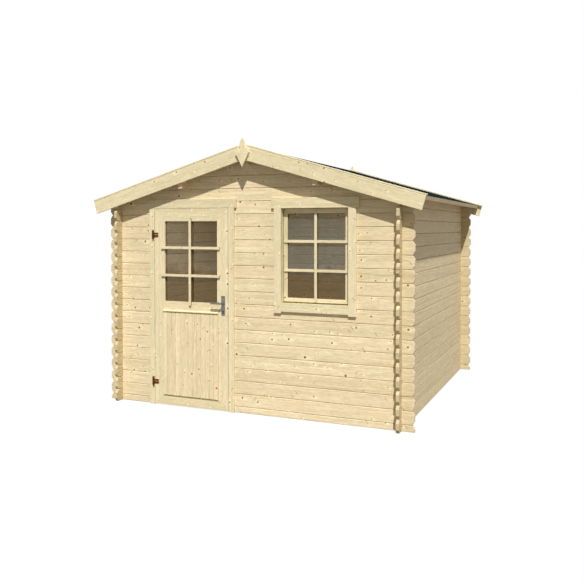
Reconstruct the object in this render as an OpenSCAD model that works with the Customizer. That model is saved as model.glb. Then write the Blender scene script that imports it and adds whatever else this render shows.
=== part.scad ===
// Garden house of interlocked wall logs, with a felted pitched roof,
// a half-glazed door that swings outward and one fixed window.
// Millimetres, +Z up, origin on the ground at the middle of the plan,
// front wall towards -Y.

/* [Walls] */
// Width over the outer faces of the side walls
house_w = 2754; // [2300:2:3800]
// Depth over the outer faces of the front and back walls
house_d = 2778; // [1500:2:4500]
// Height of the side walls at their outer face
wall_h = 1938; // [1600:2:2400]
// Thickness of a wall log
log_t = 28; // [20:1:45]
// Height that one log covers
log_h = 114; // [90:1:145]
// Length of the front and back logs beyond the side walls
side_end = 105; // [60:5:200]
// Length of the side logs beyond the front and back walls
front_end = 90; // [60:5:200]
// Depth of the V groove along each log joint
groove = 3; // [1:0.5:5]
// Length of the bevel at each log end
bevel_len = 20; // [5:1:30]
// Height of the bevel at each log end
bevel_h = 28; // [5:1:40]

/* [Roof] */
// Pitch of the roof in degrees
pitch = 16.2; // [10:0.1:30]
// Overhang of the eaves beyond the log ends
eaves = 67; // [50:1:200]
// Thickness of the roof boards
deck_t = 18; // [14:1:25]
// Thickness of the roofing felt
felt_t = 3; // [2:0.5:5]
// Width of a purlin
purlin_w = 44; // [35:1:70]
// Height of a purlin at its middle
purlin_h = 146; // [100:1:180]
// Distance of the side purlins from the ridge
purlin_x = 655; // [450:5:900]
// Thickness of the barge boards
barge_t = 18; // [15:1:28]
// Height of the barge boards
barge_h = 120; // [90:1:160]
// Length of the barge boards beyond the edge of the eaves
barge_over = 42; // [0:2:80]
// Thickness of the strip that covers the edge of the felt
strip_t = 16; // [10:1:22]
// Width of the strip that covers the edge of the felt
strip_w = 46; // [30:1:80]
// Thickness of the eaves fascia
fascia_t = 18; // [12:1:25]
// Height of the eaves fascia
fascia_h = 36; // [30:1:70]
// Height of the diamond finial
finial_h = 252; // [150:1:320]
// Width of the diamond finial
finial_w = 130; // [80:1:180]
// Thickness of the diamond finial
finial_t = 25; // [15:1:35]
// Height of the finial's tip above the ridge
finial_rise = 46; // [20:1:80]

/* [Openings] */
// Depth of the head of the openings below the top of the side walls
head_drop = 114; // [100:1:200]
// Thickness of the front casings
casing_t = 20; // [15:1:28]
// Thickness of the frame between the log ends and an opening
frame_t = 29; // [20:1:40]

/* [Door] */
// Middle of the door, from the middle of the front wall
door_x = -583; // [-640:1:-560]
// Width of the door leaf
leaf_w = 768; // [600:1:930]
// Thickness of the door leaf
leaf_t = 40; // [34:1:48]
// Gap between the leaf and its jambs
leaf_gap = 5; // [5:0.5:8]
// Gap between the leaf and the board over it
leaf_head = 2; // [2:0.5:6]
// Gap under the leaf
leaf_foot = 8; // [5:1:20]
// Width of the door casings
door_casing_w = 54; // [40:1:80]
// Height of the board over the door
lintel_h = 82; // [60:1:100]
// Length of the board over the door beyond each casing
lintel_over = 22; // [10:1:40]
// Width of the stop that the leaf closes on
stop_w = 15; // [10:1:20]
// Height of the threshold
threshold_h = 22; // [15:1:40]
// Width of the clear glass in the door
door_glass_w = 551; // [350:1:580]
// Height of the clear glass in the door
door_glass_h = 737; // [400:1:800]
// Height of the rail over the door glass
top_rail_h = 116; // [80:1:140]
// Height of the rail between the glass and the panel
middle_rail_h = 93; // [80:1:150]
// Height of the bottom rail
bottom_rail_h = 93; // [60:1:140]
// Width of the boarded panel
panel_w = 578; // [350:1:590]
// Thickness of the boarded panel
panel_t = 27; // [20:1:30]
// Depth of the panel's face in front of the face of the leaf
panel_proud = 11; // [4:1:14]
// Height of the drip strip over the panel
drip_h = 15; // [10:1:30]
// Depth of the drip strip
drip_d = 20; // [16:1:30]

/* [Ironwork] */
// Radius of a hinge barrel
barrel_r = 8; // [6:0.5:10]
// Radius of a hinge pin
pin_r = 5; // [3:0.5:5.5]
// Height of a hinge
hinge_h = 83; // [60:1:110]
// Distance of the hinge axis from the edge of the leaf
hinge_set = 14; // [12:0.5:16]
// Distance of the upper hinge's middle below the top of the leaf
hinge_top = 239; // [120:1:400]
// Height of the lower hinge's middle above the foot of the leaf
hinge_low = 208; // [120:1:400]
// Length of the strap on the leaf
strap_l = 37; // [20:1:80]
// Thickness of the strap
strap_t = 4; // [3:0.5:6]
// Width of the handle plate
plate_w = 38; // [30:1:50]
// Height of the handle plate
plate_h = 177; // [140:1:240]
// Height of the top of the handle plate above the lever's axis
plate_rise = 65; // [40:1:90]
// Thickness of the handle plate
plate_t = 3; // [2:0.5:6]
// Height of the lever's axis above the ground
lever_z = 973; // [850:1:1100]
// Distance of the lever's axis from the edge of the leaf
lever_set = 47; // [35:1:50]
// Length of the lever from its axis
lever_l = 106; // [80:1:130]
// Distance of the lever's middle from the face of the leaf
lever_out = 46; // [38:1:60]

/* [Window] */
// Middle of the window, from the middle of the front wall
win_x = 622; // [580:1:640]
// Width of the opening inside the window frame
win_w = 608; // [450:1:740]
// Height of the opening inside the window frame
win_h = 822; // [500:1:980]
// Depth of the frame behind the face of the wall
win_depth = 58; // [52:1:80]
// Width of the window casings
win_casing_w = 68; // [50:1:90]
// Height of the board over the window
win_top_h = 91; // [60:1:105]
// Height of the board under the window
win_low_h = 65; // [50:1:90]
// Length of the board over the window beyond each casing
win_over = 25; // [10:1:40]
// Length of the casings below the opening
win_tail = 82; // [70:1:140]
// Thickness of the casings inside the room
win_inner_t = 15; // [10:1:20]
// Width of the upright sash members
sash_w = 37; // [30:1:60]
// Height of the sash's upper member
sash_head_h = 41; // [30:1:60]
// Height of the sash's lower member
sash_rail_h = 34; // [30:1:60]
// Height of the sash's lower member above the foot of the opening
sash_foot = 16; // [4:1:25]
// Thickness of the sash
sash_t = 28; // [24:1:34]
// Gap round the front of the sash
sash_gap = 3.5; // [2:0.5:5]

/* [Hidden] */

wood = [0.92, 0.83, 0.65];
trim_wood = [0.91, 0.86, 0.70];
inner_wood = [0.85, 0.74, 0.55];
felt_colour = [0.10, 0.15, 0.20];
glass_colour = [0.55, 0.55, 0.50, 0.4];
hinge_colour = [0.30, 0.16, 0.10];
strap_colour = [0.45, 0.24, 0.14];
metal = [0.62, 0.64, 0.66];

round_fn = 48;
// Overrun of a cut past the face that it opens
over = 1;
// Gap all round where one piece passes through another
notch_fit = 0.3;
// Gap at the mitre of two pieces that share a node
mitre_gap = 0.4;
// Gap under the roof boards, under the felt and under the strips on its edges
bed = 0.1;
// Radial gap between a hinge pin and its barrel
pin_fit = 0.05;
// Radial gap between the lever's neck and its plate
neck_fit = 0.1;
// Gap between a turning barrel and what stands next to it
barrel_gap = 0.5;
// Gap between the log ends and the barge boards
log_end_gap = 1;
// Depth of the groove that holds a sheet of glass
glass_bite = 10;
glass_t = 4;
// Depth of the glass behind the face of the leaf or sash
glass_set = 14;
sash_glass_set = 8;
// Width of the lip behind the door panel
panel_lip = 15;
// Thickness of the part of the sash that meets the frame
sash_lip_t = 10;
// Height of the opening's foot that the lower window board covers
win_low_cover = 8;
// Depth of the window's head below the head of the door
win_head_drop = 10;
neck_r = 9;
spindle_r = 5;
lever_h = 20;
lever_t = 12;
// Half the width of the foot of a fixed hinge knuckle
knuckle_foot = 6;

half_w = house_w / 2;
half_d = house_d / 2;
plan_x = half_w + side_end;
plan_y = half_d + front_end;
top_z = wall_h + half_w * tan(pitch);
joints = ceil(top_z / log_h);

barge_back = plan_y + log_end_gap;
barge_face = barge_back + barge_t;
eaves_u = (plan_x + eaves) / cos(pitch);
barge_u = eaves_u + barge_over;
felt_v = deck_t + felt_t;
strip_v = felt_v + strip_t;
ridge_z = top_z + strip_v / cos(pitch);

head_z = wall_h - head_drop;
cut_z = head_z + frame_t;
door_w = leaf_w + 2 * leaf_gap;
door_back = log_t + casing_t;
stop_y = leaf_t - casing_t + leaf_gap;
leaf_top = head_z - leaf_head;
leaf_face = -half_d - casing_t;
panel_low = leaf_foot + bottom_rail_h;
glass_top = leaf_top - top_rail_h;
glass_low = glass_top - door_glass_h;
panel_top = glass_low - middle_rail_h;

win_top = head_z - win_head_drop;
win_low = win_top - win_h;
win_cut_low = win_low - frame_t;
win_half = win_w / 2;
sash_y = win_depth - sash_t;
sash_half = win_half - sash_gap;
pane_half = sash_half - sash_w;
pane_low = win_low + sash_foot + sash_rail_h;
pane_high = win_top - sash_gap - sash_head_h;

hinge_x = door_x - leaf_w / 2 - hinge_set;
hinge_y = leaf_face - barrel_r - barrel_gap;
hinge_heights = [leaf_foot + hinge_low, leaf_top - hinge_top];
knuckle_h = hinge_h / 4;
lever_x = door_x + leaf_w / 2 - lever_set;

// Height of the underside of the roof boards at x
function roof_z(x) = top_z - abs(x) * tan(pitch);

// Point u down the slope from the ridge and v above the underside of the boards
function slope_point(u, v) = [
    u * cos(pitch) + v * sin(pitch),
    top_z - u * sin(pitch) + v * cos(pitch)
];

// Draws an outline in X and Z and gives it its length in Y
module along_y(y0, y1) {
    translate([0, y1, 0])
        rotate([90, 0, 0])
            linear_extrude(y1 - y0)
                children();
}

// Draws an outline in Y and Z and gives it its length in X
module along_x(x0, x1) {
    translate([x0, 0, 0])
        rotate([90, 0, 90])
            linear_extrude(x1 - x0)
                children();
}

// Box between two corners
module block(low, high) {
    translate(low)
        cube(high - low);
}

// V grooves in a wall's section, on the faces at a and b, one at each log joint
module joint_grooves(a, b, first) {
    reach = groove + over;
    for (k = [0 : joints])
        let (z = first + k * log_h) {
            polygon([[a + groove, z], [a - over, z - reach], [a - over, z + reach]]);
            polygon([[b - groove, z], [b + over, z - reach], [b + over, z + reach]]);
        }
}

// Notches where other logs cross, and bevelled log ends, in a wall's elevation
module log_cuts(half_span, end_at, first) {
    hole_w = log_t + 2 * notch_fit;
    hole_h = log_h / 2 + notch_fit;
    rise = bevel_h * (bevel_len + over) / bevel_len;
    for (k = [0 : joints], side = [-1, 1])
        let (z = first + k * log_h) {
            translate([side * (half_span - log_t / 2), z])
                square([hole_w, hole_h], center = true);
            polygon([
                [side * (end_at - bevel_len), z],
                [side * (end_at + over), z - rise],
                [side * (end_at + over), z + rise]
            ]);
        }
}

// Right side wall: log joints at whole logs, top cut to the roof
module side_wall() {
    inner = half_w - log_t;
    intersection() {
        along_y(-plan_y, plan_y)
            difference() {
                polygon([
                    [inner, 0], [half_w, 0],
                    [half_w, roof_z(half_w)], [inner, roof_z(inner)]
                ]);
                joint_grooves(inner, half_w, log_h);
            }
        along_x(inner - over, half_w + over)
            difference() {
                translate([-plan_y, 0])
                    square([2 * plan_y, roof_z(inner) + over]);
                log_cuts(half_d, plan_y, 0);
            }
    }
}

// Holes for the three purlins in a gable
module purlin_holes() {
    for (x = [-purlin_x, 0, purlin_x])
        translate([x - purlin_w / 2 - notch_fit, roof_z(x) - purlin_h - notch_fit])
            square([purlin_w + 2 * notch_fit, 2 * purlin_h]);
}

// Front wall's logs between two heights and two places across the front:
// log joints half a log above those of the side walls
module front_logs(x0, x1, z0, z1) {
    intersection() {
        along_x(-plan_x, plan_x)
            difference() {
                translate([-half_d, 0])
                    square([log_t, top_z]);
                joint_grooves(-half_d, log_t - half_d, log_h / 2);
            }
        along_y(-half_d - over, log_t - half_d + over)
            difference() {
                intersection() {
                    polygon([
                        [-plan_x, 0], [plan_x, 0], [plan_x, roof_z(plan_x)],
                        [0, top_z], [-plan_x, roof_z(plan_x)]
                    ]);
                    translate([x0, z0])
                        square([x1 - x0, z1 - z0]);
                }
                log_cuts(half_w, plan_x, log_h / 2);
                purlin_holes();
            }
    }
}

module left_wall() {
    color(wood)
        mirror([1, 0, 0])
            side_wall();
}

module right_wall() {
    color(wood)
        side_wall();
}

module back_wall() {
    color(wood)
        mirror([0, 1, 0])
            front_logs(-plan_x, plan_x, 0, top_z);
}

module front_wall_left() {
    color(wood)
        front_logs(-plan_x, door_x - door_w / 2 - frame_t, 0, cut_z);
}

module front_wall_middle() {
    color(wood)
        front_logs(door_x + door_w / 2 + frame_t, win_x - win_half - frame_t, 0, cut_z);
}

module front_wall_right() {
    color(wood)
        front_logs(win_x + win_half + frame_t, plan_x, 0, cut_z);
}

module front_wall_under_window() {
    color(wood)
        front_logs(win_x - win_half - frame_t, win_x + win_half + frame_t, 0, win_cut_low);
}

module front_gable() {
    color(wood)
        front_logs(-plan_x, plan_x, cut_z, top_z);
}

// Purlin under the boards at x, its top cut to the roof
module purlin(x) {
    left = x - purlin_w / 2;
    right = x + purlin_w / 2;
    low = roof_z(x) - purlin_h;
    crown = x == 0 ? [[0, top_z]] : [];
    color(inner_wood)
        along_y(-barge_back, barge_back)
            polygon(concat(
                [[left, low], [right, low], [right, roof_z(right)]],
                crown,
                [[left, roof_z(left)]]
            ));
}

module ridge_purlin() {
    purlin(0);
}

module left_purlin() {
    purlin(-purlin_x);
}

module right_purlin() {
    purlin(purlin_x);
}

// Band of the right slope from the ridge to u, between two heights above
// the underside of the boards, and gap short of the middle
module slope_band(low, high, u, gap = 0) {
    polygon([
        slope_point(gap - low * tan(pitch), low), slope_point(u, low),
        slope_point(u, high), slope_point(gap - high * tan(pitch), high)
    ]);
}

module right_roof_deck() {
    color(inner_wood)
        along_y(-barge_back, barge_back)
            slope_band(bed, deck_t, eaves_u - fascia_t);
}

module left_roof_deck() {
    mirror([1, 0, 0])
        right_roof_deck();
}

module right_roof_felt() {
    color(felt_colour)
        along_y(-barge_back, barge_back)
            slope_band(deck_t + bed, felt_v, eaves_u);
}

module left_roof_felt() {
    mirror([1, 0, 0])
        right_roof_felt();
}

module right_eaves_fascia() {
    color(trim_wood)
        along_y(-barge_back, barge_back)
            polygon([
                slope_point(eaves_u - fascia_t, deck_t - fascia_h),
                slope_point(eaves_u, deck_t - fascia_h),
                slope_point(eaves_u, deck_t),
                slope_point(eaves_u - fascia_t, deck_t)
            ]);
}

module left_eaves_fascia() {
    mirror([1, 0, 0])
        right_eaves_fascia();
}

module front_right_barge() {
    color(trim_wood)
        along_y(-barge_face, -barge_back)
            slope_band(felt_v - barge_h, felt_v, barge_u);
}

module front_left_barge() {
    mirror([1, 0, 0])
        front_right_barge();
}

module rear_right_barge() {
    mirror([0, 1, 0])
        front_right_barge();
}

module rear_left_barge() {
    mirror([0, 1, 0])
        front_left_barge();
}

module front_cover_strips() {
    color(trim_wood)
        for (side = [0, 1])
            mirror([side, 0, 0])
                along_y(-barge_face, strip_w - barge_face)
                    slope_band(felt_v + bed, strip_v, barge_u, mitre_gap / 2);
}

module rear_cover_strips() {
    mirror([0, 1, 0])
        front_cover_strips();
}

module front_finial() {
    tip = ridge_z + finial_rise;
    color(trim_wood)
        along_y(-barge_face - finial_t, -barge_face)
            polygon([
                [0, tip], [finial_w / 2, tip - finial_h / 2],
                [0, tip - finial_h], [-finial_w / 2, tip - finial_h / 2]
            ]);
}

module rear_finial() {
    mirror([0, 1, 0])
        front_finial();
}

// Left door jamb in plan, with its inner face on x = 0 and the wall's face on y = 0:
// a U that grips the log ends, with the stop for the leaf
module door_jamb() {
    linear_extrude(head_z)
        polygon([
            [0, -casing_t], [-door_casing_w, -casing_t], [-door_casing_w, 0],
            [-frame_t, 0], [-frame_t, log_t], [-door_casing_w, log_t],
            [-door_casing_w, door_back], [stop_w, door_back], [stop_w, stop_y], [0, stop_y]
        ]);
}

module door_jamb_left() {
    color(trim_wood)
        translate([door_x - door_w / 2, -half_d, 0])
            door_jamb();
}

module door_jamb_right() {
    color(trim_wood)
        translate([door_x + door_w / 2, -half_d, 0])
            mirror([1, 0, 0])
                door_jamb();
}

module door_head() {
    web = door_w / 2 + frame_t;
    board = door_w / 2 + door_casing_w;
    stop = door_w / 2 - stop_w;
    color(trim_wood)
        translate([door_x, -half_d, 0]) {
            block([-web, 0, head_z], [web, door_back, cut_z]);
            block([-board, log_t, head_z], [board, door_back, head_z + door_casing_w]);
            block([-stop, stop_y, head_z - stop_w], [stop, door_back, head_z]);
        }
}

module door_lintel_board() {
    reach = door_w / 2 + door_casing_w + lintel_over;
    color(trim_wood)
        translate([door_x, -half_d, 0])
            block([-reach, -casing_t, head_z], [reach, 0, head_z + lintel_h]);
}

module door_threshold() {
    reach = door_w / 2 - stop_w;
    color(inner_wood)
        translate([door_x, -half_d, 0])
            block([-reach, stop_y, 0], [reach, door_back, threshold_h]);
}

// Left window jamb in plan, as the door's but without a stop
module window_jamb() {
    linear_extrude(win_top - win_low + win_tail)
        polygon([
            [0, -casing_t], [-win_casing_w, -casing_t], [-win_casing_w, 0], [0, 0]
        ]);
    translate([0, 0, win_tail - frame_t])
        linear_extrude(win_h + frame_t)
            polygon([[0, 0], [-frame_t, 0], [-frame_t, win_depth], [0, win_depth]]);
    linear_extrude(win_h + win_tail)
        polygon([
            [-frame_t, log_t], [-win_casing_w, log_t],
            [-win_casing_w, log_t + win_inner_t], [-frame_t, log_t + win_inner_t]
        ]);
}

module window_jamb_left() {
    color(trim_wood)
        translate([win_x - win_half, -half_d, win_low - win_tail])
            window_jamb();
}

module window_jamb_right() {
    color(trim_wood)
        translate([win_x + win_half, -half_d, win_low - win_tail])
            mirror([1, 0, 0])
                window_jamb();
}

module window_head() {
    web = win_half + frame_t;
    casing = win_half + win_casing_w;
    reach = casing + win_over;
    color(trim_wood)
        translate([win_x, -half_d, 0]) {
            block([-web, 0, win_top], [web, win_depth, cut_z]);
            block([-reach, -casing_t, win_top], [reach, 0, win_top + win_top_h]);
            block([-casing, log_t, win_top], [casing, log_t + win_inner_t, win_top + win_casing_w]);
        }
}

module window_sill() {
    board_top = win_low + win_low_cover;
    color(trim_wood)
        translate([win_x, -half_d, 0]) {
            block([-win_half, 0, win_cut_low], [win_half, win_depth, win_low]);
            block([-win_half, -casing_t, board_top - win_low_h], [win_half, 0, board_top]);
            block(
                [-win_half, log_t, win_low - win_casing_w],
                [win_half, log_t + win_inner_t, win_low]
            );
        }
}

// Frame round the pane: its front stands clear of the opening, its rear lip fills it
module window_sash() {
    color(trim_wood)
        translate([win_x, sash_y - half_d, 0])
            difference() {
                union() {
                    block([-sash_half, 0, win_low + sash_foot], [sash_half, sash_t, win_top - sash_gap]);
                    block([-win_half, sash_t - sash_lip_t, win_low], [win_half, sash_t, win_top]);
                }
                block([-pane_half, -over, pane_low], [pane_half, sash_t + over, pane_high]);
                block(
                    [-pane_half - glass_bite, sash_glass_set, pane_low - glass_bite],
                    [pane_half + glass_bite, sash_glass_set + glass_t, pane_high + glass_bite]
                );
            }
}

module window_glass() {
    reach = pane_half + glass_bite;
    color(glass_colour)
        translate([win_x, sash_y + sash_glass_set - half_d, 0])
            block([-reach, 0, pane_low - glass_bite], [reach, glass_t, pane_high + glass_bite]);
}

module door_leaf() {
    lip_w = panel_w / 2 - panel_lip;
    lip_y = panel_t - panel_proud;
    glass_w = door_glass_w / 2;
    color(trim_wood)
        translate([door_x, leaf_face, 0])
            difference() {
                block([-leaf_w / 2, 0, leaf_foot], [leaf_w / 2, leaf_t, leaf_top]);
                block([-panel_w / 2, -over, panel_low], [panel_w / 2, lip_y, panel_top]);
                block(
                    [-lip_w, 0, panel_low + panel_lip],
                    [lip_w, leaf_t + over, panel_top - panel_lip]
                );
                block([-glass_w, -over, glass_low], [glass_w, leaf_t + over, glass_top]);
                block(
                    [-glass_w - glass_bite, glass_set, glass_low - glass_bite],
                    [glass_w + glass_bite, glass_set + glass_t, glass_top + glass_bite]
                );
                translate([lever_x - door_x, -over, lever_z])
                    rotate([-90, 0, 0])
                        cylinder(h = leaf_t + 2 * over, r = spindle_r + neck_fit, $fn = round_fn);
            }
}

module door_panel() {
    color(wood)
        translate([door_x, leaf_face, 0])
            block(
                [-panel_w / 2, -panel_proud, panel_low],
                [panel_w / 2, panel_t - panel_proud, panel_top]
            );
}

module door_glass() {
    reach = door_glass_w / 2 + glass_bite;
    color(glass_colour)
        translate([door_x, leaf_face + glass_set, 0])
            block(
                [-reach, 0, glass_low - glass_bite],
                [reach, glass_t, glass_top + glass_bite]
            );
}

// Strip over the panel with a sloping top
module door_drip_strip() {
    color(trim_wood)
        translate([0, leaf_face, panel_top])
            along_x(door_x - panel_w / 2, door_x + panel_w / 2)
                polygon([[0, 0], [-drip_d, 0], [-drip_d, drip_h / 2], [0, drip_h]]);
}

// Fixed half of each hinge: two knuckles and the pin, with a foot on the casing
module frame_hinges() {
    color(hinge_colour)
        for (z = hinge_heights)
            translate([hinge_x, hinge_y, z - hinge_h / 2]) {
                cylinder(h = hinge_h, r = pin_r, $fn = round_fn);
                for (low = [0, hinge_h - knuckle_h]) {
                    translate([0, 0, low])
                        cylinder(h = knuckle_h, r = barrel_r, $fn = round_fn);
                    block(
                        [-knuckle_foot, 0, low],
                        [knuckle_foot, leaf_face - hinge_y, low + knuckle_h]
                    );
                }
            }
}

// Moving half of each hinge: the middle knuckle and its strap on the leaf
module door_hinge_straps() {
    low = knuckle_h + barrel_gap;
    high = hinge_h - knuckle_h - barrel_gap;
    face = leaf_face - hinge_y;
    color(strap_colour)
        for (z = hinge_heights)
            translate([hinge_x, hinge_y, z - hinge_h / 2])
                difference() {
                    union() {
                        translate([0, 0, low])
                            cylinder(h = high - low, r = barrel_r, $fn = round_fn);
                        block(
                            [0, face - strap_t, low],
                            [hinge_set + barrel_gap, face - barrel_gap, high]
                        );
                        block(
                            [hinge_set, face - strap_t, low],
                            [hinge_set + strap_l, face, high]
                        );
                    }
                    translate([0, 0, low - over])
                        cylinder(h = hinge_h, r = pin_r + pin_fit, $fn = round_fn);
                }
}

// Plates on both faces of the leaf, each with a hole for the lever's neck
module handle_plates() {
    color(metal)
        for (y = [-plate_t, leaf_t])
            translate([lever_x, leaf_face + y, lever_z])
                difference() {
                    block(
                        [-plate_w / 2, 0, plate_rise - plate_h],
                        [plate_w / 2, plate_t, plate_rise]
                    );
                    translate([0, -over, 0])
                        rotate([-90, 0, 0])
                            cylinder(h = plate_t + 2 * over, r = neck_r + neck_fit, $fn = round_fn);
                }
}

// Levers on both faces on one spindle
module door_lever() {
    reach = lever_out + lever_t / 2;
    color(metal)
        translate([lever_x, leaf_face, lever_z]) {
            translate([0, -lever_out, 0])
                rotate([-90, 0, 0])
                    cylinder(h = leaf_t + 2 * lever_out, r = spindle_r, $fn = round_fn);
            for (face = [0, 1])
                translate([0, face * leaf_t, 0])
                    mirror([0, face, 0]) {
                        translate([0, -reach, 0])
                            rotate([-90, 0, 0])
                                cylinder(h = reach, r = neck_r, $fn = round_fn);
                        block(
                            [-lever_l, -reach, -lever_h / 2],
                            [0, lever_t - reach, lever_h / 2]
                        );
                    }
        }
}

left_wall();
right_wall();
back_wall();
front_wall_left();
front_wall_middle();
front_wall_right();
front_wall_under_window();
front_gable();
ridge_purlin();
left_purlin();
right_purlin();
left_roof_deck();
right_roof_deck();
left_roof_felt();
right_roof_felt();
front_left_barge();
front_right_barge();
rear_left_barge();
rear_right_barge();
front_cover_strips();
rear_cover_strips();
front_finial();
rear_finial();
left_eaves_fascia();
right_eaves_fascia();
door_jamb_left();
door_jamb_right();
door_head();
door_lintel_board();
door_threshold();
frame_hinges();
window_jamb_left();
window_jamb_right();
window_head();
window_sill();
window_sash();
window_glass();
door_leaf();
door_panel();
door_glass();
door_drip_strip();
door_hinge_straps();
handle_plates();
door_lever();
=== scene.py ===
"""Looks of the garden house: its logs, boards, roof felt, glass and ironwork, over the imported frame."""

import random
from math import copysign, cos, pi, radians, sin, tan

import bmesh
import bpy
from mathutils import Matrix, Vector


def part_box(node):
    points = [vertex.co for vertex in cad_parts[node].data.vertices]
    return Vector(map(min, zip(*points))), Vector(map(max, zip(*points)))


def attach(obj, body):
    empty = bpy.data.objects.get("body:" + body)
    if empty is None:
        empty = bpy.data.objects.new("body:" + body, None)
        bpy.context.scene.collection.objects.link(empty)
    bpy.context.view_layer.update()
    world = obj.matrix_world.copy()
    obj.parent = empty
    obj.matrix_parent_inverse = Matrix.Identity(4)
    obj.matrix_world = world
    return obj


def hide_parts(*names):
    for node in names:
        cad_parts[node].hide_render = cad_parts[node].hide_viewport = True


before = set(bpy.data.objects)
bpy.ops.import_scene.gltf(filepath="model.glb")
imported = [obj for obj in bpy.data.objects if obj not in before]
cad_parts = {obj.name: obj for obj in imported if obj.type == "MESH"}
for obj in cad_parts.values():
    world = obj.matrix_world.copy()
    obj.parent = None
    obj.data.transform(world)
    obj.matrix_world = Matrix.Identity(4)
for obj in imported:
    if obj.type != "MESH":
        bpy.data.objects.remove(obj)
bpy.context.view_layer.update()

MM = 0.001
X, Y, Z = Vector((1, 0, 0)), Vector((0, 1, 0)), Vector((0, 0, 1))
SIDES = (("left", -1), ("right", 1))

# Sizes that the part's source names, in metres
LOG_H = 114 * MM
FRAME_T = 29 * MM
STOP_W = 15 * MM
STOP_DEPTH = 25 * MM
WIN_INNER_T = 15 * MM
WIN_INNER_W = 68 * MM
STILE_W = 95 * MM
PANEL_LIP = 15 * MM
PANE_BITE = 10 * MM
SASH_W = 37 * MM
SASH_HEAD_H = 41 * MM
SASH_RAIL_H = 34 * MM
SASH_FOOT = 16 * MM
SASH_LIP_T = 10 * MM
SASH_GAP = 3.5 * MM
PITCH = radians(16.2)
SLOPE = tan(PITCH)
EAVES_U = 1613 * MM
BARGE_U = 1655 * MM
DECK_T = 18 * MM
FELT_V = 21 * MM
STRIP_V = 37 * MM
BARGE_H = 120 * MM
FASCIA_T = 18 * MM
FASCIA_H = 36 * MM
LEVER_Z = 973 * MM
HINGE_H = 83 * MM

# Finer sizes that only the looks need
HAIR = 0.1 * MM
ARRIS = 1.6 * MM
JOINT_ARRIS = 0.7 * MM
ROUND_ARRIS = 3 * MM
PANEL_ARRIS = 3.4 * MM
LEAST_LOG_H = 0.5 * MM
LOG_STEP = 0.15 * MM
NOTCH = 28.6 * MM
NOTCH_FIT = 0.3 * MM
PURLIN_BACK = 7 * MM
BAR_W = 24 * MM
BAR_CAP = 6 * MM
BAR_EDGE = 1 * MM
BAR_SHARES = (0.328, 0.671)
BAR_PROUD = 15 * MM
BAR_OVER = 31 * MM
SASH_BAR_PROUD = 10 * MM
SASH_BAR_OVER = 28 * MM
LINING_T = 1.5 * MM
SEAL_T = 2 * MM
# Drop of the brown strip under the sash's rail, painted shade
SHADE_STRIP_DROP = 6 * MM
PANEL_BOARDS = 13
PANEL_GAP = 0.8 * MM
ROOF_BOARDS = 31
ROOF_GAP = 0.4 * MM
RIDGE_GAP = 0.3 * MM
FELT_T = 2.2 * MM
FELT_LAP = 860 * MM
NAILS = 22

# How far a surface in lasting shade is tinted towards SHADED, from 0 to 1
END_SHADE = 0.35
STUB_SHADE = 0.5
DEEP_STUB_SHADE = 1
SIDE_SHADE = 0.38
LINTEL_SHADE = 0.38
RAIL_SHADE = 0.26
EDGE_SHADE = 1
STRIP_SHADE = 0.6
PANEL_SHADE = 0.02
SHADED = (0.76, 0.765, 0.73, 1)

# Edge of a log's section: depth from the face and drop from the joint
LOG_EDGE = [(0, 5.2), (1.3, 2.8), (4.2, 1.4), (11, 1.4), (11, 0)]
LOG_EDGE = [(depth * MM, drop * MM) for depth, drop in LOG_EDGE]
# Free end of a log: way from the end, height cut from each joint, inset of the faces
LOG_END = [(0, 30, 1.5), (1.2, 28, 0), (17, 3.6, 0), (20, 0.8, 0), (23, 0, 0)]
LOG_END = [(way * MM, cut * MM, inset * MM) for way, cut, inset in LOG_END]

# Camera and sun
EYE = (2.785, -6.941, 1.641)
EYE_TURN = (88.814, 0, 23.129)
SUN_FROM = Vector((0.259, -0.533, 0.805))


# -------- node trees


class Nodes:
    """The node tree of a material or of the world, written line by line."""

    def __init__(self, owner):
        owner.use_nodes = True
        self.tree = owner.node_tree

    def add(self, kind, inputs, **settings):
        """Adds a node and returns its outputs."""
        made = self.tree.nodes.new("ShaderNode" + kind)
        for key, value in settings.items():
            setattr(made, key, value)
        for socket, value in inputs.items():
            if isinstance(value, bpy.types.NodeSocket):
                self.tree.links.new(value, made.inputs[socket])
            else:
                made.inputs[socket].default_value = value
        return made.outputs

    def math(self, operation, *values):
        return self.add("Math", dict(enumerate(values)), operation=operation)[0]

    def times(self, first, second):
        return self.math("MULTIPLY", first, second)

    def scaled(self, value, factor, plus):
        return self.math("MULTIPLY_ADD", value, factor, plus)

    def show(self, output, factor, first, second):
        """Ends the tree in a mix of two shaders."""
        mix = self.add("MixShader", {0: factor, 1: first, 2: second})
        self.tree.links.new(mix[0], self.tree.nodes[output].inputs["Surface"])

    def seen_directly(self):
        """1 for rays that show the background: from the camera, a mirror or glass."""
        path = self.add("LightPath", {})
        mirrored = self.math("MAXIMUM", path["Is Camera Ray"], path["Is Glossy Ray"])
        return self.math("MAXIMUM", mirrored, path["Is Transmission Ray"])


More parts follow.
